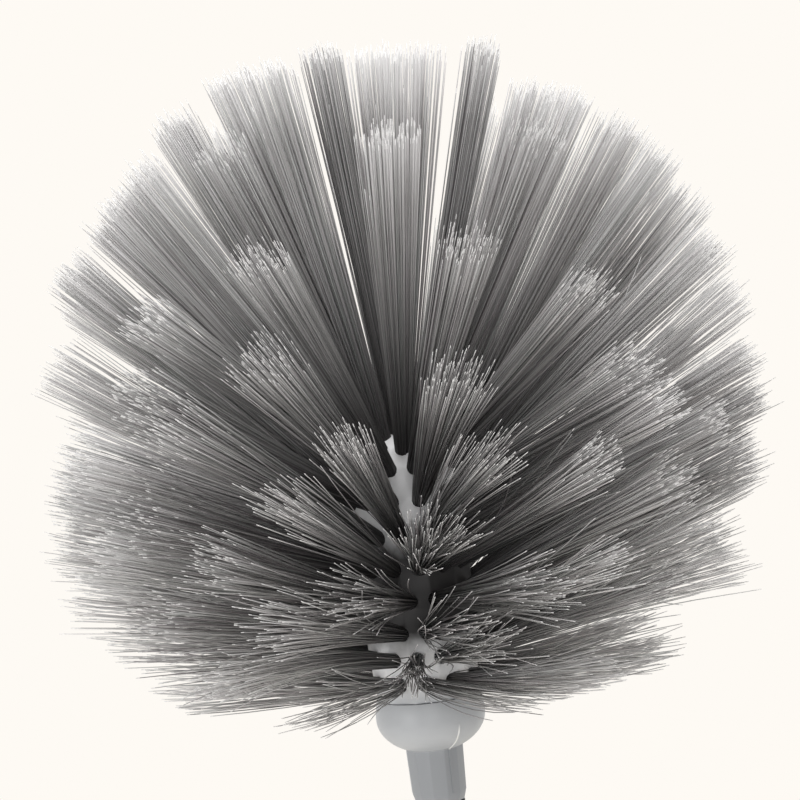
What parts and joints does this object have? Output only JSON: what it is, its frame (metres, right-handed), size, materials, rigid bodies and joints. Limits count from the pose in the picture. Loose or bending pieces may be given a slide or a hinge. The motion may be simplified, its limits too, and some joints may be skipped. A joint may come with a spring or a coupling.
{
  "type": "extendable dome cobweb broom",
  "caption": "Dome-shaped cobweb and ceiling brush on a three-section telescopic pole with twist-lock collars.",
  "frame": {"origin": "centre of the flat bottom of the end cap, on the axis of the pole", "axes": "+Z along the pole towards the brush head, -Y towards the viewer of the picture"},
  "size_m": [0.28, 0.2787, 0.8168],
  "materials": {
    "pale_plastic": "satin",
    "white_plastic": "satin",
    "dark_plastic": "matte",
    "filament": "satin",
    "soft_grip": "matte",
    "painted_tube": "satin",
    "bright_tube": "satin",
    "steel": "satin"
  },
  "bodies": {
    "pole_base": {"end_cap": "dark_plastic", "outer_tube": "painted_tube", "grip_sleeve": "soft_grip", "lower_lock_body": "dark_plastic"},
    "lower_collar": {"lower_twist_collar": "pale_plastic"},
    "lower_wedge": {"lower_wedge_ring": "white_plastic"},
    "middle_section": {"middle_tube": "bright_tube", "middle_stop_bush": "dark_plastic", "upper_lock_body": "dark_plastic"},
    "upper_collar": {"upper_twist_collar": "pale_plastic"},
    "upper_wedge": {"upper_wedge_ring": "white_plastic"},
    "head_section": {"inner_tube": "bright_tube", "inner_stop_bush": "dark_plastic", "pole_tip": "dark_plastic", "tip_rivet": "steel", "collar_neck": "pale_plastic", "head_screw": "steel", "screw_washer": "steel", "tuft_row_1": "filament", "tuft_row_2": "filament", "tuft_row_3": "filament", "tuft_row_4": "filament", "tuft_row_5": "filament", "tuft_row_6": "filament", "tuft_row_7": "filament", "tuft_row_8": "filament", "crown_tufts": "filament"}
  },
  "joints": [
    {"name": "lower_collar_turn", "type": "hinge", "parent": "pole_base", "child": "lower_collar", "pos_m": [0, 0, 0.433], "axis": [0, 0, 1], "range_deg": [0, 90]},
    {"name": "lower_wedge_slide", "type": "slide", "parent": "pole_base", "child": "lower_wedge", "axis": [0, 0, 1], "range_m": [0, 0.0012]},
    {"name": "middle_slide", "type": "slide", "parent": "pole_base", "child": "middle_section", "axis": [0, 0, 1], "range_m": [0, 0.346]},
    {"name": "upper_collar_turn", "type": "hinge", "parent": "middle_section", "child": "upper_collar", "pos_m": [0, 0, 0.485], "axis": [0, 0, 1], "range_deg": [0, 90]},
    {"name": "upper_wedge_slide", "type": "slide", "parent": "middle_section", "child": "upper_wedge", "axis": [0, 0, 1], "range_m": [0, 0.0012]},
    {"name": "inner_slide", "type": "slide", "parent": "middle_section", "child": "head_section", "axis": [0, 0, 1], "range_m": [0, 0.358]}
  ],
  "couplings": [
    {"joint": "lower_collar_turn", "follows": "lower_wedge_slide", "rad_per_m": 1300},
    {"joint": "upper_collar_turn", "follows": "upper_wedge_slide", "rad_per_m": 1300}
  ]
}
